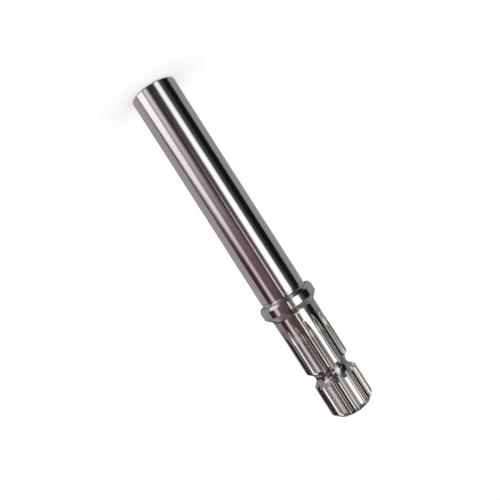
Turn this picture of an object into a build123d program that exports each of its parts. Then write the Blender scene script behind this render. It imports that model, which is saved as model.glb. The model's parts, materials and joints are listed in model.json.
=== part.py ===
from build123d import *

import os
from math import acos, cos, degrees, pi, radians, sin, tan

# Splined shaft, machined from one steel bar, standing on its plain end.
#
# A ground journal carries the bearing and ends at a collar turned from the same bar. Past the collar
# the bar is cut with an involute spline whose tooth spaces run out where the cutter lifts clear. A
# ring groove across the teeth takes the balls or clamp bolt that lock the mating hub in place.
#
# Sizes are in millimetres. The shaft's axis is +Z, and the plain end's face lies on z = 0.

# Journal
journal_diameter = 25.4
journal_length = 127.7  # plain end's face to the collar's shoulder
journal_edge_break = 0.5

# Grinding relief, where the wheel stops short of the shoulder
relief_width = 1.9
relief_depth = 0.3
relief_root_radius = 0.8

# Collar
collar_height = 2.95  # how far it stands out from the journal
collar_width = 5.9  # shoulder to the start of the back chamfer
rim_chamfer_length = 1.7
rim_chamfer_height = 1.0
back_chamfer_angle = 45.0  # from the shaft's axis
back_blend_radius = 2.0

# Involute spline, fillet root, side fit
tooth_count = 15
diametral_pitch = 16  # teeth for each inch of pitch diameter
pressure_angle = 30.0
tip_reduction = 0.21  # taken off the standard tip radius, so that the hub seats on the flanks
form_height = 0.48  # root to where its fillet meets the involute flank
neck_length = 6.0  # plain land between the collar and the first touch of the cutter
spline_length = 54.7  # first touch of the cutter to the splined end's face
cutter_radius = 28.0
end_chamfer = 2.9

# Locking groove
groove_setback = 23.5  # groove's middle to the splined end's face
groove_depth = 3.0  # below the tooth tips
groove_radius = 3.8
groove_included_angle = 90.0

# Centre holes that the bar is turned and ground between
centre_pilot_diameter = 2.5
centre_mouth_diameter = 5.3
centre_pilot_depth = 5.5
centre_cone_angle = 60.0

cut_margin = 1.0  # how far a cut reaches outside the bar
station_margin = 0.1  # how close an edge lies to the station that it is picked by

# Spline circles. The standard adds to the tooth count for the outside and takes off it for the root.
outside_addition = 1.0
root_deduction = 1.8
pitch_radius = tooth_count / diametral_pitch * IN / 2
base_radius = pitch_radius * cos(radians(pressure_angle))
tip_radius = (tooth_count + outside_addition) / diametral_pitch * IN / 2 - tip_reduction
root_radius = (tooth_count - root_deduction) / diametral_pitch * IN / 2
form_radius = root_radius + form_height

# Stations along the axis
journal_radius = journal_diameter / 2
collar_radius = journal_radius + collar_height
collar_end = journal_length + collar_width
relief_radius = journal_radius - relief_depth
relief_start = journal_length - relief_width
back_chamfer_length = (collar_radius - tip_radius) / tan(radians(back_chamfer_angle))
cutter_touch = collar_end + back_chamfer_length + neck_length
shaft_length = cutter_touch + spline_length
groove_middle = shaft_length - groove_setback
cutter_lift = tip_radius - root_radius
runout_length = (cutter_lift * (2 * cutter_radius - cutter_lift)) ** 0.5
full_depth_start = cutter_touch + runout_length


def involute(angle):
    """Involute function of an angle in radians."""
    return tan(angle) - angle


def flank_point(radius, side):
    """Point on one flank of the tooth space that is centred on +X, at a radius."""
    tooth_half_angle = (
        pi / (2 * tooth_count)
        + involute(radians(pressure_angle))
        - involute(acos(base_radius / radius))
    )
    space_half_angle = pi / tooth_count - tooth_half_angle
    return (radius * cos(space_half_angle), side * radius * sin(space_half_angle))


# Turned bar: journal, collar, land and both ends in one profile
with BuildPart() as splined_shaft:
    with BuildSketch(Plane.XZ):
        with BuildLine():
            Polyline(
                (0, 0),
                (journal_radius - journal_edge_break, 0),
                (journal_radius, journal_edge_break),
                (journal_radius, relief_start),
                (relief_radius, relief_start + relief_depth),
                (relief_radius, journal_length),
                (collar_radius - rim_chamfer_height, journal_length),
                (collar_radius, journal_length + rim_chamfer_length),
                (collar_radius, collar_end),
                (tip_radius, collar_end + back_chamfer_length),
                (tip_radius, shaft_length - end_chamfer),
                (tip_radius - end_chamfer, shaft_length),
                (0, shaft_length),
                close=True,
            )
        make_face()
    revolve(axis=Axis.Z)

    # Radius in the relief's corner, and the blend behind the collar
    for station, radius in (
        (journal_length, relief_root_radius),
        (collar_end + back_chamfer_length, back_blend_radius),
    ):
        rings = edges().filter_by(GeomType.CIRCLE).filter_by_position(
            Axis.Z, station - station_margin, station + station_margin
        )
        fillet(rings.sort_by(SortBy.RADIUS)[0], radius)

    # Centre holes
    for end_face in (faces().sort_by(Axis.Z)[0], faces().sort_by(Axis.Z)[-1]):
        with Locations(Plane(end_face)):
            CounterSinkHole(
                centre_pilot_diameter / 2,
                centre_mouth_diameter / 2,
                depth=centre_pilot_depth,
                counter_sink_angle=centre_cone_angle,
            )

    # Locking groove: round bottom with flanks tangent to it
    with BuildSketch(Plane.XZ):
        half_angle = radians(groove_included_angle / 2)
        bottom = tip_radius - groove_depth
        mouth = tip_radius + cut_margin
        tangent_x = bottom + groove_radius * (1 - sin(half_angle))
        tangent_z = groove_radius * cos(half_angle)
        mouth_z = tangent_z + (mouth - tangent_x) * tan(half_angle)
        with BuildLine():
            ThreePointArc(
                (tangent_x, groove_middle - tangent_z),
                (bottom, groove_middle),
                (tangent_x, groove_middle + tangent_z),
            )
            Polyline(
                (tangent_x, groove_middle + tangent_z),
                (mouth, groove_middle + mouth_z),
                (mouth, groove_middle - mouth_z),
                (tangent_x, groove_middle - tangent_z),
            )
        make_face()
    revolve(axis=Axis.Z, mode=Mode.SUBTRACT)

# One tooth space as the cutter leaves it: straight to the end, lifting clear towards the collar
with BuildPart() as tooth_space:
    with BuildSketch(Plane.XY.offset(full_depth_start)) as space_section:
        middle_radius = (form_radius + tip_radius) / 2
        outside = tip_radius + cut_margin
        with BuildLine():
            for side in (-1, 1):
                ThreePointArc(
                    flank_point(form_radius, side),
                    flank_point(middle_radius, side),
                    flank_point(tip_radius, side),
                )
                Line(flank_point(tip_radius, side), (outside, flank_point(tip_radius, side)[1]))
            ThreePointArc(
                flank_point(form_radius, -1), (root_radius, 0), flank_point(form_radius, 1)
            )
            Line(
                (outside, flank_point(tip_radius, -1)[1]), (outside, flank_point(tip_radius, 1)[1])
            )
        make_face()
    extrude(amount=shaft_length - full_depth_start + cut_margin)

    cutter_axis = Axis((root_radius + cutter_radius, 0, full_depth_start), (0, -1, 0))
    lift_angle = degrees(acos(1 - (cutter_lift + cut_margin / 2) / cutter_radius))
    revolve(space_section.sketch, axis=cutter_axis, revolution_arc=lift_angle)

with splined_shaft:
    with PolarLocations(0, tooth_count):
        add(tooth_space.part, mode=Mode.SUBTRACT)

splined_shaft.part.label = "splined_shaft"

os.makedirs("parts", exist_ok=True)
export_step(splined_shaft.part, "parts/splined_shaft.step")
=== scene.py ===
import json
import math

import bpy
import numpy as np
from mathutils import Matrix, Vector


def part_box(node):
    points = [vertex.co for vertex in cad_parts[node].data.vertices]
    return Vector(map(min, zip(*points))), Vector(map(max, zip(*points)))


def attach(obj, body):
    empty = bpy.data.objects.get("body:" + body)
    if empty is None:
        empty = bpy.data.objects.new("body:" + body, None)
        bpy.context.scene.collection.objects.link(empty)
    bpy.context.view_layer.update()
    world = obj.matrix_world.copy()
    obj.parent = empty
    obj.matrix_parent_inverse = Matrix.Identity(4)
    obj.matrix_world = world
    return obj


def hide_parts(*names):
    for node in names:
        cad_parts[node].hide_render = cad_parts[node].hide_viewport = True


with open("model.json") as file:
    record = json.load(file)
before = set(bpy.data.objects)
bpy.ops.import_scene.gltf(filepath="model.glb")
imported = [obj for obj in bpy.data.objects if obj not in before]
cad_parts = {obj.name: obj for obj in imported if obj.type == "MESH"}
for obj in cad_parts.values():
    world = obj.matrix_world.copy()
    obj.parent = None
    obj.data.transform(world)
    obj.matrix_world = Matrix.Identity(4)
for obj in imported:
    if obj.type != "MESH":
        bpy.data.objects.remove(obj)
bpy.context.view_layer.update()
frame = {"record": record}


# ---------------------------------------------------------------------------------------------------
# The turned bar
# One bar of case-hardened alloy steel, turned between centres: centre holes, journal, grinding relief,
# collar with a square shoulder in front and a chamfer behind, and the land that the spline is cut into.
# ---------------------------------------------------------------------------------------------------

MM = 0.001
MICRON = 1e-6
INCH = 25.4 * MM
mounts = {mount["name"]: mount for mount in frame["record"]["mounts"]}
shaft_low, shaft_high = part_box("splined_shaft")
shaft_length = shaft_high.z - shaft_low.z
journal_radius = mounts["journal"]["dims"]["r_mm"] * MM
collar_radius = (shaft_high.x - shaft_low.x) / 2
shoulder_height = mounts["collar_shoulder"]["pos_m"][2]

edge_break = 0.5 * MM
relief_width = 1.9 * MM
relief_depth = 0.3 * MM
relief_root_radius = 0.8 * MM
rim_chamfer_length = 1.7 * MM
rim_chamfer_height = 1.0 * MM
collar_width = 5.9 * MM
back_blend_radius = 2.0 * MM
end_chamfer = 2.9 * MM
deburr_radius = 0.18 * MM
centre_mouth_radius = 2.65 * MM
centre_pilot_radius = 1.25 * MM
centre_pilot_depth = 5.5 * MM
centre_cone_depth = (centre_mouth_radius - centre_pilot_radius) / math.tan(math.radians(30))

# The spline has 15 teeth of 16/32 pitch; its tips are the land's own radius.
tooth_count = 15
diametral_pitch = 16
tip_reduction = 0.21 * MM
tip_radius = (tooth_count + 1) / diametral_pitch * INCH / 2 - tip_reduction
root_radius = (tooth_count - 1.8) / diametral_pitch * INCH / 2
back_chamfer_end = shoulder_height + collar_width + collar_radius - tip_radius
end_chamfer_start = shaft_length - end_chamfer
neck_lead = 2.5 * MM
neck_end = back_chamfer_end + neck_lead
relief_start = shoulder_height - relief_width
relief_radius = journal_radius - relief_depth

TURNED, GROUND, MILLED, GROOVED = 0, 1, 2, 3


def rounded_profile(corners, steps=3):
    """(radius, height, finish) rows of a turned outline: each corner becomes an arc of its radius.

    A corner is (radius, height, rounding, finish of the run that follows it).
    """
    rows = []
    for i, (r, z, rounding, finish) in enumerate(corners):
        here = Vector((r, z))
        if rounding == 0:
            rows.append((r, z, finish))
            continue
        before = (Vector(corners[i - 1][:2]) - here).normalized()
        after = (Vector(corners[i + 1][:2]) - here).normalized()
        half_opening = before.angle(after) / 2
        reach = rounding / math.tan(half_opening)
        middle = here + (before + after).normalized() * rounding / math.sin(half_opening)
        start = here + before * reach - middle
        turn = start.angle_signed(here + after * reach - middle)
        for step in range(steps + 1):
            spoke = start @ Matrix.Rotation(turn * step / steps, 2)
            rows.append((*(middle + spoke), finish if step == steps else TURNED))
    return rows


def held_profile(rows, hold=0.25 * MM):
    """The rows of an outline with one more near each end of a long run, so that its ends stay straight."""
    held = [rows[0]]
    for (r, z, finish), after in zip(rows, rows[1:]):
        run = Vector((after[0] - r, after[1] - z))
        if run.length > 4 * hold:
            step = run.normalized() * hold
            held.append((r + step.x, z + step.y, finish))
            held.append((after[0] - step.x, after[1] - step.y, finish))
        held.append(after)
    return held


journal_side = held_profile(rounded_profile(
    [
        (0, centre_pilot_depth, 0, TURNED),
        (centre_pilot_radius, centre_pilot_depth, 0, TURNED),
        (centre_pilot_radius, centre_cone_depth, 0, TURNED),
        (centre_mouth_radius, 0, deburr_radius, TURNED),
        (journal_radius - edge_break, 0, deburr_radius, TURNED),
        (journal_radius, edge_break, deburr_radius, GROUND),
        (journal_radius, shoulder_height / 4, 0, GROUND),
        (journal_radius, shoulder_height / 2, 0, GROUND),
        (journal_radius, shoulder_height * 3 / 4, 0, GROUND),
        (journal_radius, relief_start, deburr_radius / 2, TURNED),
        (relief_radius, relief_start + relief_depth, deburr_radius / 2, GROUND),
        (relief_radius, shoulder_height, relief_root_radius, TURNED),
        (collar_radius - rim_chamfer_height, shoulder_height, deburr_radius, TURNED),
        (collar_radius, shoulder_height + rim_chamfer_length, deburr_radius, GROUND),
        (collar_radius, shoulder_height + collar_width, deburr_radius, TURNED),
        (tip_radius, back_chamfer_end, back_blend_radius, GROUND),
        (tip_radius, neck_end, 0, GROUND),
    ]
))[:-1]

splined_end = held_profile(rounded_profile(
    [
        (tip_radius, end_chamfer_start, 0, TURNED),
        (tip_radius - end_chamfer, shaft_length, deburr_radius, TURNED),
        (centre_mouth_radius, shaft_length, deburr_radius, TURNED),
        (centre_pilot_radius, shaft_length - centre_cone_depth, 0, TURNED),
        (centre_pilot_radius, shaft_length - centre_pilot_depth, 0, TURNED),
        (0, shaft_length - centre_pilot_depth, 0, TURNED),
    ]
))[2:]


# ---------------------------------------------------------------------------------------------------
# The spline
# Tooth spaces milled by a form cutter: a fillet root, involute flanks, and a run-out towards the
# collar where the round cutter lifts clear, so that each space ends in a pointed arch on the land.
# ---------------------------------------------------------------------------------------------------

pressure_angle = math.radians(30)
form_height = 0.48 * MM
cutter_radius = 28 * MM
crease_rounding = 0.12 * MM
tooth_pitch = 2 * math.pi / tooth_count
pitch_radius = tooth_count / diametral_pitch * INCH / 2
base_radius = pitch_radius * math.cos(pressure_angle)
form_radius = root_radius + form_height
cutter_axis = root_radius + cutter_radius
full_depth_start = 2 * mounts["spline"]["pos_m"][2] - shaft_length


def space_half_angle(radius):
    """Half the width of a tooth space at a radius, as an angle at the shaft's axis."""
    roll = np.arccos(base_radius / radius)
    tooth_half_angle = tooth_pitch / 4 + np.tan(pressure_angle) - pressure_angle - np.tan(roll) + roll
    return tooth_pitch / 2 - tooth_half_angle


def tooth_space_section():
    """(x, y) points of half a tooth space centred on +X: the root's arc, then the involute flank."""
    form_angle = space_half_angle(form_radius)
    form_x, form_y = form_radius * math.cos(form_angle), form_radius * math.sin(form_angle)
    arc_middle = (form_x**2 + form_y**2 - root_radius**2) / (2 * (form_x - root_radius))
    arc_radius = arc_middle - root_radius
    sweep = np.linspace(0, math.atan2(form_y, arc_middle - form_x), 40)[:-1]
    radius = np.linspace(form_radius, tip_radius + 4 * crease_rounding, 60)
    flank_angle = space_half_angle(radius)
    x = np.concatenate([arc_middle - arc_radius * np.cos(sweep), radius * np.cos(flank_angle)])
    y = np.concatenate([arc_radius * np.sin(sweep), radius * np.sin(flank_angle)])
    return x, y


section_x, section_y = tooth_space_section()
tip_corner = float(space_half_angle(tip_radius))


def space_radius(azimuth, height=shaft_length):
    """Radius of the cut surface at an azimuth; below full depth the cutter has lifted it outwards."""
    drop = max(full_depth_start - height, 0)
    x = cutter_axis - np.sqrt((cutter_axis - section_x) ** 2 - drop**2)
    return np.interp(np.abs(azimuth), np.arctan2(section_y, x), np.hypot(x, section_y))


def crease_height(azimuth):
    """Height at which the lifting cutter's surface leaves the land, for an azimuth in the space."""
    section = np.interp(tip_radius * math.sin(azimuth), section_y, section_x)
    on_land = tip_radius * math.cos(azimuth)
    return full_depth_start - math.sqrt((cutter_axis - section) ** 2 - (cutter_axis - on_land) ** 2)


def soft_min(a, b, reach=crease_rounding):
    """The smaller of two radii, rounded where they meet as a deburred edge is."""
    overlap = np.clip(reach - np.abs(a - b), 0, None) / reach
    return np.minimum(a, b) - overlap**2 * reach / 4


# ---------------------------------------------------------------------------------------------------
# The locking groove
# A ring groove turned across the finished teeth with a round-nosed tool: a round bottom and 45 degree
# sides. It takes the balls or the clamp bolt that hold the mating hub on the spline.
# ---------------------------------------------------------------------------------------------------

groove_middle = mounts["locking_groove"]["pos_m"][2]
groove_depth = 3.0 * MM
groove_radius = 3.8 * MM
groove_arc_middle = tip_radius - groove_depth + groove_radius
groove_tangent_radius = groove_arc_middle - groove_radius * math.sin(math.radians(45))
groove_tangent_reach = groove_radius * math.cos(math.radians(45))


def groove_reach(radius):
    """How far from the groove's middle its side stands at a radius."""
    on_arc = np.sqrt(np.clip(groove_radius**2 - (groove_arc_middle - radius) ** 2, 0, None))
    on_side = groove_tangent_reach + radius - groove_tangent_radius
    return np.where(radius < groove_tangent_radius, on_arc, on_side)


def turned_radius(height):
    """Radius that turning leaves along the spline: the land, the groove and the end chamfer."""
    reach = np.abs(height - groove_middle)
    on_arc = groove_arc_middle - np.sqrt(np.clip(groove_radius**2 - reach**2, 0, None))
    on_side = groove_tangent_radius + reach - groove_tangent_reach
    groove = np.where(reach < groove_tangent_reach, on_arc, on_side)
    chamfer = tip_radius + end_chamfer_start - height
    return soft_min(soft_min(tip_radius, groove), chamfer)


# ---------------------------------------------------------------------------------------------------
# One tooth's width of the shaft
# The whole shaft is the same every 24 degrees, so its skin is drawn once for one tooth space, from
# the centre hole in the plain end to the centre hole in the splined end. Lines run along the edges.
# ---------------------------------------------------------------------------------------------------

corner_steps = np.array([0.08, 0.18]) * MM / tip_radius
narrowest_space = math.radians(0.3)
form_corner = float(space_half_angle(form_radius))
inner_share = np.concatenate(
    [
        np.linspace(0, form_corner, 6)[:-1],
        np.linspace(form_corner, tip_corner - corner_steps[1], 7),
        [tip_corner - corner_steps[0], tip_corner],
    ]
) / tip_corner


def columns_round(corner):
    """Azimuths of the lines across one tooth space whose edge is at the corner azimuth."""
    land = np.linspace(corner + corner_steps[1], tooth_pitch / 2, 5)
    half = np.concatenate([inner_share * corner, [corner + corner_steps[0]], land])
    return np.concatenate([-half[:0:-1], half])


spline_columns = columns_round(tip_corner)
column_count = len(spline_columns)
even_columns = np.linspace(-tooth_pitch / 2, tooth_pitch / 2, column_count)
inner_count = len(inner_share) - 1
middle_column = column_count // 2
section_radius = np.minimum(space_radius(spline_columns), tip_radius)
rows = []


def add_row(azimuth, radius, height, land_finish, space_finish=None):
    """One ring of points, and the finish of the faces that follow it on the land and in the space."""
    azimuth, radius, height = np.broadcast_arrays(azimuth, radius, height)
    finish = np.full(column_count - 1, land_finish)
    if space_finish is not None:
        finish[middle_column - inner_count : middle_column + inner_count] = space_finish
    rows.append((azimuth, radius, height, finish))


def add_spline_row(height, land_finish, space_finish):
    """A ring of points along the full-depth teeth, at one height or at one for each column."""
    radius = soft_min(space_radius(spline_columns), turned_radius(height))
    add_row(spline_columns, radius, height, land_finish, space_finish)


def grid_faces(row_count, column_count):
    """Four-sided faces between the points of a grid, row after row."""
    first = np.arange(column_count - 1)[None, :] + column_count * np.arange(row_count - 1)[:, None]
    faces = np.stack([first, first + 1, first + column_count + 1, first + column_count], axis=-1)
    return faces.reshape(-1, 4).tolist()


for radius, height, finish in journal_side:
    add_row(even_columns, radius, height, finish)

# Neck: the lines gather towards the point where the cutter first touches
touch_height = crease_height(0)
first_columns = columns_round(narrowest_space)
neck_start = journal_side[-1][1]
for share in (0.25, 0.5, 0.75, 0.97):
    azimuth = even_columns + share * (first_columns - even_columns)
    add_row(azimuth, tip_radius, neck_start + share * (touch_height - neck_start), GROUND)

# Run-out: the lines follow the arch that the cutter leaves on the land
flank_start = crease_height(form_corner)
arch = list(np.linspace(narrowest_space, form_corner, 8))
edge_azimuths = np.linspace(form_corner, tip_corner - 1e-5, 400)
edge_heights = np.array([crease_height(a) for a in edge_azimuths])
arch += list(np.interp(np.linspace(flank_start, full_depth_start, 19)[1:], edge_heights, edge_azimuths))
for corner in arch:
    azimuth, height = columns_round(corner), crease_height(corner)
    add_row(azimuth, soft_min(space_radius(azimuth, height), tip_radius), height, GROUND, MILLED)

# Groove: the lines across follow its edge down the flanks
edge_offsets = np.array([-0.25, -0.1, 0, 0.1, 0.25]) * MM
near_edge = groove_middle - groove_reach(section_radius)
far_edge = groove_middle + groove_reach(section_radius)
chamfer_edge = end_chamfer_start + tip_radius - section_radius
for share in (0.15, 0.4, 0.7):
    height = full_depth_start + share * (near_edge - full_depth_start)
    add_spline_row(height, GROUND, MILLED)
for offset in edge_offsets:
    finish = (GROOVED, GROOVED) if offset >= 0 else (GROUND, MILLED)
    add_spline_row(near_edge + offset, *finish)
crossing = np.linspace(-1, 1, 17)[1:-1]
for share in crossing:
    reach = (far_edge - near_edge) / 2 - edge_offsets[-1]
    add_spline_row(groove_middle + share * reach, GROOVED, GROOVED)
for offset in edge_offsets:
    finish = (GROOVED, GROOVED) if offset < 0 else (GROUND, MILLED)
    add_spline_row(far_edge + offset, *finish)
for share in (0.35, 0.7):
    add_spline_row(far_edge + share * (chamfer_edge - far_edge), GROUND, MILLED)

# End chamfer and end face
for offset in edge_offsets:
    finish = (TURNED, TURNED) if offset >= 0 else (GROUND, MILLED)
    add_spline_row(chamfer_edge + offset, *finish)
for radius, height, finish in splined_end:
    add_row(spline_columns, radius, height, finish)

azimuth, radius, height = (np.array([row[i] for row in rows]) for i in range(3))
points = np.stack([radius * np.cos(azimuth), radius * np.sin(azimuth), height], axis=-1)
pitch_mesh = bpy.data.meshes.new("tooth_pitch")
pitch_mesh.from_pydata(points.reshape(-1, 3).tolist(), [], grid_faces(len(rows), column_count))
finish_of_face = pitch_mesh.attributes.new("finish", "INT", "FACE")
finish_of_face.data.foreach_set("value", np.concatenate([row[3] for row in rows[:-1]]).astype(np.int32))
pitch_object = bpy.data.objects.new("machined_shaft_pitch", pitch_mesh)
bpy.context.scene.collection.objects.link(pitch_object)


# ---------------------------------------------------------------------------------------------------
# Finishes
# Cylindrically ground and polished journal, collar rim and tooth lands; turned chamfers and end faces
# with fine tool rings; a form-turned groove; milled tooth spaces. All bare steel with a film of oil.
# ---------------------------------------------------------------------------------------------------


class Finish:
    """A bare steel material, with short names for the nodes that its texture is built from."""

    def __init__(self, name, colour, anisotropy):
        self.material = bpy.data.materials.new(name)
        self.material.use_nodes = True
        self.nodes = self.material.node_tree.nodes
        self.link = self.material.node_tree.links.new
        self.shader = self.nodes["Principled BSDF"]
        self.shader.inputs["Metallic"].default_value = 1
        self.shader.inputs["Anisotropic"].default_value = anisotropy
        self.shader.inputs["Anisotropic Rotation"].default_value = 0.25
        self.colour = colour
        self.place = self.nodes.new("ShaderNodeTexCoord").outputs["Object"]
        tangent = self.nodes.new("ShaderNodeTangent")
        tangent.direction_type = "RADIAL"
        tangent.axis = "Z"
        self.link(tangent.outputs["Tangent"], self.shader.inputs["Tangent"])

    def math(self, operation, *values):
        """The result of one sum; each value is a number or another node's output."""
        node = self.nodes.new("ShaderNodeMath")
        node.operation = operation
        for socket, value in zip(node.inputs, values):
            if isinstance(value, (int, float)):
                socket.default_value = value
            else:
                self.link(value, socket)
        return node.outputs[0]

    def across_rings(self):
        """A distance that grows across turned or ground rings on every surface round the axis."""
        x, y, z = self.nodes.new("ShaderNodeSeparateXYZ").outputs
        self.link(self.place, x.node.inputs[0])
        squares = self.math("ADD", self.math("MULTIPLY", x, x), self.math("MULTIPLY", y, y))
        return self.math("MULTIPLY_ADD", self.math("SQRT", squares), 0.6, z)

    def noise(self, size, detail=2.0, stretch=(1, 1, 1)):
        """Noise from 0 to 1 with features of a size in metres, stretched along the axes."""
        mapping = self.nodes.new("ShaderNodeMapping")
        mapping.inputs["Scale"].default_value = [1 / (size * s) for s in stretch]
        self.link(self.place, mapping.inputs["Vector"])
        node = self.nodes.new("ShaderNodeTexNoise")
        node.inputs["Scale"].default_value = 1
        node.inputs["Detail"].default_value = detail
        self.link(mapping.outputs[0], node.inputs["Vector"])
        return node.outputs["Fac"]

    def ring_noise(self, size, detail=2.0):
        """Noise from 0 to 1 that is the same all round the axis."""
        node = self.nodes.new("ShaderNodeTexNoise")
        node.noise_dimensions = "1D"
        node.inputs["Scale"].default_value = 1 / size
        node.inputs["Detail"].default_value = detail
        self.link(self.across_rings(), node.inputs["W"])
        return node.outputs["Fac"]

    def spread(self, value, low, high, start=0.25, end=0.75):
        """A value that goes from start to end brought to the range from low to high."""
        node = self.nodes.new("ShaderNodeMapRange")
        for name, number in (("From Min", start), ("From Max", end), ("To Min", low), ("To Max", high)):
            node.inputs[name].default_value = number
        self.link(value, node.inputs["Value"])
        return node.outputs["Result"]

    def tone(self, lightness):
        """Colours the steel by its own tint and a lightness that changes over the surface."""
        scale = self.nodes.new("ShaderNodeVectorMath")
        scale.operation = "SCALE"
        scale.inputs[0].default_value = self.colour
        self.link(lightness, scale.inputs["Scale"])
        self.link(scale.outputs[0], self.shader.inputs["Base Color"])

    def relief(self, *layers):
        """Adds (height 0 to 1, depth in metres) layers as bump."""
        below = None
        for value, depth in layers:
            bump = self.nodes.new("ShaderNodeBump")
            bump.inputs["Distance"].default_value = depth
            self.link(value, bump.inputs["Height"])
            if below is not None:
                self.link(below, bump.inputs["Normal"])
            below = bump.outputs[0]
        self.link(below, self.shader.inputs["Normal"])


# Ground: fine rings of uneven depth, faint long waves, an oil film that dulls it in patches
ground = Finish("ground_steel", (0.68, 0.66, 0.66), 0.8)
grinding = ground.ring_noise(0.35 * MM, 4)
film = ground.noise(9 * MM, 3, (1, 1, 2.5))
waves = ground.noise(7 * MM, 1, (1, 1, 4))
specks = ground.spread(ground.noise(0.9 * MM, 1), 1, 0.55, 0.76, 0.8)
mottle = ground.math("MULTIPLY", ground.spread(film, 0.93, 1.04), specks)
ground.tone(ground.math("MULTIPLY", ground.spread(grinding, 0.96, 1.03), mottle))
ground.link(
    ground.math("MULTIPLY", ground.spread(film, 0.13, 0.17), ground.spread(grinding, 0.94, 1.06)),
    ground.shader.inputs["Roughness"],
)
ground.relief((grinding, 0.6 * MICRON), (waves, 6 * MICRON))

# Turned: regular tool rings, duller and darker than the ground rims
turned = Finish("turned_steel", (0.6, 0.58, 0.585), 0.5)
tool_feed = 0.22 * MM
tool_rings = turned.math("SINE", turned.math("MULTIPLY", turned.across_rings(), 2 * math.pi / tool_feed))
scuffs = turned.noise(2.5 * MM, 4)
turned.tone(turned.spread(scuffs, 0.86, 1.06))
turned.link(turned.spread(scuffs, 0.23, 0.16), turned.shader.inputs["Roughness"])
ring_depth = turned.math("MULTIPLY_ADD", tool_rings, 0.5, 0.5)
turned.relief((ring_depth, 1.6 * MICRON), (scuffs, 5 * MICRON))

# Grooved: cut last, by a form tool through the hardened teeth, so darker and streaked
grooved = Finish("grooved_steel", (0.54, 0.52, 0.54), 0.4)
tool_streaks = grooved.ring_noise(0.5 * MM, 3)
burnish = grooved.noise(1.8 * MM, 4)
streak_tone = grooved.spread(tool_streaks, 0.75, 1.1)
grooved.tone(grooved.math("MULTIPLY", streak_tone, grooved.spread(burnish, 0.85, 1.1)))
grooved.link(grooved.spread(burnish, 0.22, 0.14), grooved.shader.inputs["Roughness"])
grooved.relief((tool_streaks, 1.2 * MICRON), (burnish, MICRON))

# Milled: the cutter's feed marks across the spaces and its lines along them
milled = Finish("milled_steel", (0.5, 0.48, 0.465), 0.0)
feed_marks = milled.ring_noise(0.7 * MM, 1)
cutter_lines = milled.noise(0.35 * MM, 2, (1, 1, 60))
grime = milled.noise(4 * MM, 3, (1, 1, 3))
grime_tone = milled.spread(grime, 0.88, 1.05)
milled.tone(milled.math("MULTIPLY", grime_tone, milled.spread(cutter_lines, 0.94, 1.05)))
milled.link(milled.spread(grime, 0.13, 0.08), milled.shader.inputs["Roughness"])
milled.relief((feed_marks, 2 * MICRON), (cutter_lines, 2.5 * MICRON))


# ---------------------------------------------------------------------------------------------------
# The finished shaft
# Geometry nodes turn the one tooth's width round the axis, weld the seams and give each surface its
# finish. The result is one closed steel part that stands for the CAD shaft.
# ---------------------------------------------------------------------------------------------------


def round_the_axis_tree():
    """Node tree that repeats a wedge round Z, welds it and sets a material by its finish number."""
    tree = bpy.data.node_groups.new("repeat_round_axis", "GeometryNodeTree")
    sockets = {}
    for name, kind in (
        ("Wedge", "NodeSocketGeometry"),
        ("Teeth", "NodeSocketInt"),
        ("Weld Distance", "NodeSocketFloat"),
        ("Turned", "NodeSocketMaterial"),
        ("Ground", "NodeSocketMaterial"),
        ("Milled", "NodeSocketMaterial"),
        ("Grooved", "NodeSocketMaterial"),
    ):
        sockets[name] = tree.interface.new_socket(name, in_out="INPUT", socket_type=kind).identifier
    tree.interface.new_socket("Shaft", in_out="OUTPUT", socket_type="NodeSocketGeometry")
    nodes, link = tree.nodes, tree.links.new
    inputs, output = nodes.new("NodeGroupInput"), nodes.new("NodeGroupOutput")

    step = nodes.new("ShaderNodeMath")
    step.operation = "DIVIDE"
    step.inputs[0].default_value = 2 * math.pi
    link(inputs.outputs["Teeth"], step.inputs[1])
    turn = nodes.new("ShaderNodeMath")
    turn.operation = "MULTIPLY"
    link(nodes.new("GeometryNodeInputIndex").outputs[0], turn.inputs[0])
    link(step.outputs[0], turn.inputs[1])
    rotation = nodes.new("ShaderNodeCombineXYZ")
    link(turn.outputs[0], rotation.inputs["Z"])

    places = nodes.new("GeometryNodePoints")
    link(inputs.outputs["Teeth"], places.inputs["Count"])
    copies = nodes.new("GeometryNodeInstanceOnPoints")
    link(places.outputs[0], copies.inputs["Points"])
    link(inputs.outputs["Wedge"], copies.inputs["Instance"])
    link(rotation.outputs[0], copies.inputs["Rotation"])
    realize = nodes.new("GeometryNodeRealizeInstances")
    link(copies.outputs[0], realize.inputs[0])
    weld = nodes.new("GeometryNodeMergeByDistance")
    link(realize.outputs[0], weld.inputs["Geometry"])
    link(inputs.outputs["Weld Distance"], weld.inputs["Distance"])
    smooth = nodes.new("GeometryNodeSetShadeSmooth")
    link(weld.outputs[0], smooth.inputs["Geometry"])

    finish = nodes.new("GeometryNodeInputNamedAttribute")
    finish.data_type = "INT"
    finish.inputs["Name"].default_value = "finish"
    last = smooth
    for number, name in ((TURNED, "Turned"), (GROUND, "Ground"), (MILLED, "Milled"), (GROOVED, "Grooved")):
        same = nodes.new("FunctionNodeCompare")
        same.data_type = "INT"
        same.operation = "EQUAL"
        link(finish.outputs["Attribute"], same.inputs["A"])
        same.inputs["B"].default_value = number
        painted = nodes.new("GeometryNodeSetMaterial")
        link(last.outputs[0], painted.inputs["Geometry"])
        link(same.outputs[0], painted.inputs["Selection"])
        link(inputs.outputs[name], painted.inputs["Material"])
        last = painted
    link(last.outputs[0], output.inputs[0])
    return tree, sockets


tree, sockets = round_the_axis_tree()
repeat = pitch_object.modifiers.new("repeat", "NODES")
repeat.node_group = tree
repeat[sockets["Teeth"]] = tooth_count
repeat[sockets["Weld Distance"]] = MICRON
repeat[sockets["Turned"]] = turned.material
repeat[sockets["Ground"]] = ground.material
repeat[sockets["Milled"]] = milled.material
repeat[sockets["Grooved"]] = grooved.material

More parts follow.
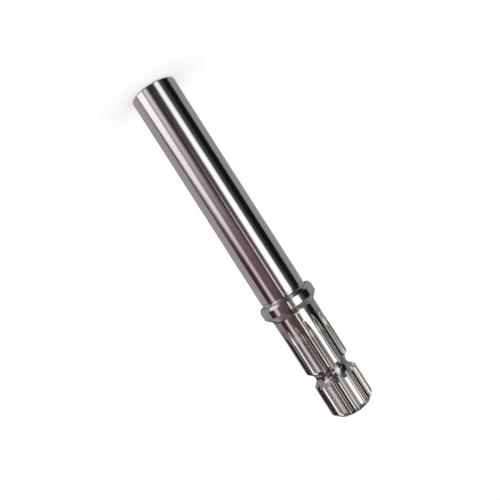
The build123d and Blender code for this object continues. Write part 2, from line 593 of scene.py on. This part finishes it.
evaluated = pitch_object.evaluated_get(bpy.context.evaluated_depsgraph_get())
shaft_mesh = bpy.data.meshes.new_from_object(evaluated)
shaft_mesh.name = "machined_shaft"
shaft = bpy.data.objects.new("machined_shaft", shaft_mesh)
bpy.context.scene.collection.objects.link(shaft)
bpy.data.objects.remove(pitch_object)

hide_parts("splined_shaft")
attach(shaft, "root")


# ---------------------------------------------------------------------------------------------------
# Floor
# A plain white sweep that the shaft stands on, lifted just past white, so that a soft shadow stays
# round the foot. It is kept out of reflections, so that the steel shows the studio's panels.
# ---------------------------------------------------------------------------------------------------

floor_half = 12.0
floor_drop = 0.02 * MM
floor_lift = 0.12
floor_lift_for_camera = 0.06

floor_mesh = bpy.data.meshes.new("floor")
floor_mesh.from_pydata(
    [(x * floor_half, y * floor_half, 0) for x, y in ((-1, -1), (1, -1), (1, 1), (-1, 1))],
    [],
    [(0, 1, 2, 3)],
)
floor = bpy.data.objects.new("floor", floor_mesh)
bpy.context.scene.collection.objects.link(floor)
floor.location.z = -floor_drop
floor.visible_glossy = False

floor_paint = bpy.data.materials.new("white_sweep")
floor_paint.use_nodes = True
floor_shader = floor_paint.node_tree.nodes["Principled BSDF"]
floor_shader.inputs["Base Color"].default_value = (0.9, 0.9, 0.9, 1)
floor_shader.inputs["Roughness"].default_value = 0.9
floor_shader.inputs["Specular IOR Level"].default_value = 0.0
floor_shader.inputs["Emission Color"].default_value = (1, 1, 1, 1)
seen_by_camera = floor_paint.node_tree.nodes.new("ShaderNodeLightPath").outputs["Is Camera Ray"]
camera_lift = floor_paint.node_tree.nodes.new("ShaderNodeMath")
camera_lift.operation = "MULTIPLY_ADD"
camera_lift.inputs[1].default_value = floor_lift_for_camera
camera_lift.inputs[2].default_value = floor_lift
floor_paint.node_tree.links.new(seen_by_camera, camera_lift.inputs[0])
floor_paint.node_tree.links.new(camera_lift.outputs[0], floor_shader.inputs["Emission Strength"])
floor_mesh.materials.append(floor_paint)


# ---------------------------------------------------------------------------------------------------
# Studio
# Polished steel shows what stands round it: tall soft boxes, black flags and tinted boards in a ring,
# a grey ceiling with a dark board in it, and a dark floor below. Later panels stand nearer.
# ---------------------------------------------------------------------------------------------------

viewing_azimuth = math.radians(-88.3)
ring_distance = 0.8
ring_low, ring_high = -1.4, 1.1
panel_step = 0.004
panel_column_degrees = 1.5
panel_rows = 25
board_lines = 21

panel_shine = bpy.data.materials.new("panel_shine")
panel_shine.use_nodes = True
nodes, link = panel_shine.node_tree.nodes, panel_shine.node_tree.links.new
nodes.clear()
glow = nodes.new("ShaderNodeAttribute")
glow.attribute_name = "glow"
emission = nodes.new("ShaderNodeEmission")
see_through = nodes.new("ShaderNodeBsdfTransparent")
cover = nodes.new("ShaderNodeMixShader")
output = nodes.new("ShaderNodeOutputMaterial")
link(glow.outputs["Color"], emission.inputs["Color"])
link(glow.outputs["Alpha"], cover.inputs["Fac"])
link(see_through.outputs[0], cover.inputs[1])
link(emission.outputs[0], cover.inputs[2])
link(cover.outputs[0], output.inputs["Surface"])


def soft_edge(distance, width):
    """0 at a panel's edge, rising smoothly to 1 at a width inside it."""
    share = np.clip(distance / max(width, 1e-6), 0, 1)
    return share * share * (3 - 2 * share)


def stage_panel(name, places, light, cover):
    """A grid of places seen only in reflections, with its own light and cover at each place."""
    mesh = bpy.data.meshes.new(name)
    mesh.from_pydata(places.reshape(-1, 3).tolist(), [], grid_faces(*places.shape[:2]))
    shades = np.concatenate([light, cover[..., None]], axis=-1)
    mesh.attributes.new("glow", "FLOAT_COLOR", "POINT").data.foreach_set("color", shades.ravel())
    mesh.materials.append(panel_shine)
    board = bpy.data.objects.new(name, mesh)
    bpy.context.scene.collection.objects.link(board)
    board.visible_camera = False
    board.visible_diffuse = False
    board.visible_shadow = False
    board.visible_transmission = False


def upright_panel(
    name, sides, light, soft=0, low=ring_low, high=ring_high, top_sides=None, top_light=None, fade=0
):
    """A curved upright panel between two angles, in degrees round from the camera towards +X.

    Its sides are soft over some degrees, its top fades out over a height, and the angles of its sides
    and its light can change towards the top. Each panel stands a step nearer than those before it.
    """
    columns = int((sides[1] - sides[0]) / panel_column_degrees) + 4
    across, upward = np.meshgrid(np.linspace(0, 1, columns), np.linspace(0, 1, panel_rows), indexing="ij")
    first, last = (a + (b - a) * upward for a, b in zip(sides, top_sides or sides))
    angle = first + (last - first) * across
    height = low + (high - low) * upward
    distance = ring_distance - panel_step * len(bpy.data.meshes)
    azimuth = viewing_azimuth + np.radians(angle)
    places = np.stack([distance * np.cos(azimuth), distance * np.sin(azimuth), height], axis=-1)
    cover = soft_edge(np.minimum(angle - first, last - angle), soft) if soft else np.ones_like(angle)
    if fade:
        cover = cover * soft_edge(high - height, fade)
    bottom_light, top_light = np.array(light), np.array(top_light or light)
    stage_panel(name, places, bottom_light + (top_light - bottom_light) * upward[..., None], cover)


def level_board(name, height, middle, half_sizes, light, soft=0):
    """A level board above or below, its middle measured outwards and aside from the shaft."""
    lines = np.linspace(-1, 1, board_lines)
    outward, aside = np.meshgrid(lines, lines, indexing="ij")
    azimuth = viewing_azimuth
    x = middle[0] + outward * half_sizes[0]
    y = middle[1] + aside * half_sizes[1]
    places = np.stack([
        x * math.cos(azimuth) - y * math.sin(azimuth),
        x * math.sin(azimuth) + y * math.cos(azimuth),
        np.full_like(x, height),
    ], axis=-1)
    inside = np.minimum((1 - np.abs(outward)) * half_sizes[0], (1 - np.abs(aside)) * half_sizes[1])
    cover = soft_edge(inside, soft) if soft else np.ones_like(x)
    stage_panel(name, places, np.broadcast_to(light, places.shape), cover)


upright_panel("wall_right", (-180, -90), (0.36, 0.37, 0.37))
upright_panel("wall_left", (90, 180), (0.45, 0.42, 0.44))
upright_panel("wall_front", (-92, 92), (0.09, 0.088, 0.085))
upright_panel("upper_wall_front", (-92, 92), (0.03, 0.028, 0.026), low=0.3)
upright_panel("upper_wall_right", (-180, -97), (0.27, 0.27, 0.27), low=0.24)
upright_panel("upper_wall_left", (92, 180), (0.26, 0.25, 0.25), low=0.24, high=0.34)
upright_panel("maroon_wall_left", (80, 180), (0.06, 0.036, 0.039), low=0.34, high=0.62)
upright_panel("dark_board_right", (-98, -45), (0.066, 0.07, 0.072), 3, low=-0.8)
upright_panel("black_flag_right", (-100, -60), (0.008, 0.008, 0.008), 7, low=-0.8)
upright_panel("grey_board_high", (-74, -49), (0.7, 0.7, 0.68), 5, low=0.37, high=0.56, fade=0.12)
upright_panel(
    "soft_box_right", (-41, -16), (0.85, 0.93, 0.98), 11, low=-0.8, high=0.7, top_sides=(-57, -11),
    top_light=(2.1, 2.2, 2.2), fade=0.25,
)
upright_panel("soft_box_high", (-22, 1), (1.9, 1.82, 1.7), 6, low=0.36, high=0.62, fade=0.12)
upright_panel("soft_box_top", (-52, -24), (1.7, 1.7, 1.7), 6, low=0.48)
upright_panel("brown_flag", (-13, 17), (0.03, 0.024, 0.026), 3, low=-0.34, high=-0.2)
upright_panel(
    "maroon_board", (-1, 18), (0.03, 0.02, 0.021), 3, low=-0.18, high=0.3, top_light=(0.13, 0.073, 0.073)
)
upright_panel(
    "mauve_board", (13, 50), (0.28, 0.19, 0.23), 6, low=-0.16, high=0.3, top_sides=(8, 50),
    top_light=(0.13, 0.058, 0.07),
)
upright_panel("mauve_board_top", (5, 60), (0.22, 0.16, 0.2), 4, low=0.62)
upright_panel("cream_strip", (-1.5, 5), (0, 0, 0), 2, low=-0.1, high=0.6, top_light=(3.4, 2.82, 2.5))
upright_panel("orange_strip", (-3, 6), (0.8, 0.58, 0.42), 3, low=0.6)
upright_panel(
    "mint_strip", (19, 47), (1.1, 1.24, 1.24), 9, low=-0.34, high=0.06, top_light=(0.22, 0.14, 0.18)
)
upright_panel(
    "plum_flag_low", (68, 84), (0.4, 0.34, 0.37), 6, low=-0.14, high=0.1, top_sides=(65, 94),
    top_light=(0.06, 0.03, 0.04),
)
upright_panel("plum_flag", (64, 95), (0.05, 0.023, 0.034), 4, low=0.1)
upright_panel(
    "pink_soft_box_foot", (43, 98), (1.4, 1.33, 1.37), 10, low=-0.6, high=-0.34, top_light=(1.7, 1.6, 1.66)
)
upright_panel(
    "pink_soft_box_low", (43, 98), (1.7, 1.6, 1.66), 10, low=-0.34, high=0.08, top_sides=(43, 72),
    top_light=(1.0, 0.86, 0.94),
)
upright_panel(
    "pink_soft_box_high", (45, 68), (0.72, 0.56, 0.63), 9, low=0.08, high=0.52, top_sides=(46, 73),
    top_light=(1.15, 1, 1.05), fade=0.1,
)
upright_panel("grey_board_left", (32, 52), (0.3, 0.29, 0.27), 5, low=0.31, high=0.56, fade=0.12)
upright_panel("ochre_board_high", (20, 45), (0.25, 0.2, 0.12), 6, low=0.42, high=0.8)
upright_panel("back_soft_box", (194, 212), (0.45, 0.45, 0.45), 3)
upright_panel("back_flag", (150, 194), (0.25, 0.25, 0.25), 3)
upright_panel("back_black_flag_right", (158, 172), (0.03, 0.03, 0.032), 4)
upright_panel("back_black_flag_left", (188, 203), (0.03, 0.03, 0.032), 4)
upright_panel("back_strip_low", (169, 190), (1.9, 1.9, 1.85), 6, high=-0.02, fade=0.35)
upright_panel("back_strip_high", (169, 190), (0.25, 0.25, 0.25), 6, low=0.12, top_light=(2.4, 2.4, 2.3))
upright_panel("foot_right", (-100, -48), (0.19, 0.19, 0.19), high=-0.8)
upright_panel("foot_soft_box", (-52, -12), (1, 1, 1), 8, high=-0.8)
upright_panel("foot_mauve", (14, 48), (0.27, 0.24, 0.26), 5, high=-0.8)
upright_panel("foot_pink", (43, 98), (0.75, 0.71, 0.73), 10, high=-0.6)
level_board("ceiling", ring_high, (0, 0), (1.2, 1.2), (0.21, 0.21, 0.22))
level_board("ceiling_front", ring_high - 0.01, (0.7, 0), (0.6, 1.2), (0.02, 0.02, 0.02), 0.1)
level_board("ceiling_soft_box", ring_high - 0.015, (0.52, -0.4), (0.36, 0.22), (1.4, 1.4, 1.4), 0.06)
level_board("ceiling_mauve_board", ring_high - 0.017, (0.45, 0.45), (0.42, 0.4), (0.24, 0.17, 0.2), 0.08)
level_board("ceiling_board", ring_high - 0.02, (-0.1, 0.03), (0.7, 0.24), (0.01, 0.0085, 0.0085), 0.1)
level_board("ceiling_strip", ring_high - 0.03, (-0.1, 0.015), (0.7, 0.02), (0.8, 0.7, 0.64), 0.01)
level_board("ground", ring_low, (0, 0), (1.2, 1.2), (0.12, 0.12, 0.115))

world = bpy.data.worlds.new("studio")
bpy.context.scene.world = world
world.use_nodes = True
world.node_tree.nodes["Background"].inputs["Color"].default_value = (1, 1, 1, 1)
world.node_tree.nodes["Background"].inputs["Strength"].default_value = 1.0


# ---------------------------------------------------------------------------------------------------
# Camera
# Level with the middle of the shaft and rolled, so that the shaft lies across the picture with its
# splined end low on the right.
# ---------------------------------------------------------------------------------------------------

camera_distance = 0.2894
camera_height = 0.0927
aim_height = 0.0977
aim_aside = -0.00218
roll = math.radians(57.415)

outward = Vector((math.cos(viewing_azimuth), math.sin(viewing_azimuth), 0))
up = Vector((0, 0, 1))
aside = outward.cross(up)
camera_place = outward * camera_distance + up * camera_height
back = (camera_place - (up * aim_height + aside * aim_aside)).normalized()
right = up * math.cos(roll) + aside * math.sin(roll)
right = (right - back * right.dot(back)).normalized()
camera_data = bpy.data.cameras.new("camera")
camera_data.lens = 39.38
camera_data.sensor_width = 36
camera = bpy.data.objects.new("camera", camera_data)
camera.matrix_world = Matrix((
    (*right, 0), (*back.cross(right), 0), (*back, 0), (0, 0, 0, 1)
)).transposed()
camera.location = camera_place
bpy.context.scene.collection.objects.link(camera)
bpy.context.scene.camera = camera
bpy.context.scene.view_settings.view_transform = "Standard"
